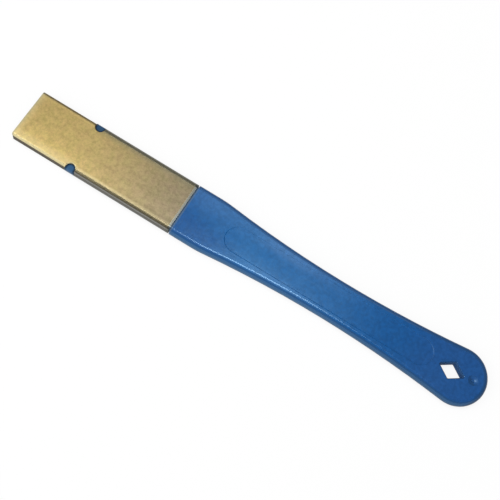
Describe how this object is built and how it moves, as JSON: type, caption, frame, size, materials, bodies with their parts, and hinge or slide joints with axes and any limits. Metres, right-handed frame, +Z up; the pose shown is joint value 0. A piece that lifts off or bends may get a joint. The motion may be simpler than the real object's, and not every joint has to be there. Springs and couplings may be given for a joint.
{
  "type": "diamond sharpening hone",
  "caption": "Hand-held sharpening hone: a diamond-coated folded steel plate on a slim waisted plastic handle with a lozenge-shaped hanging hole.",
  "frame": {"origin": "under the middle of the hone, on the surface that it rests on", "axes": "+X from the tip of the plate to the butt of the handle, +Y across the hone, +Z up out of the coated face"},
  "size_m": [0.1822, 0.0208, 0.004],
  "materials": {
    "handle_plastic": "satin, blue right through",
    "plate_steel": "matt, sandy diamond coating on the upper face, bare plated steel on the wrapped sides"
  },
  "bodies": {
    "root": {"handle": "handle_plastic", "abrasive_plate": "plate_steel"}
  },
  "joints": []
}
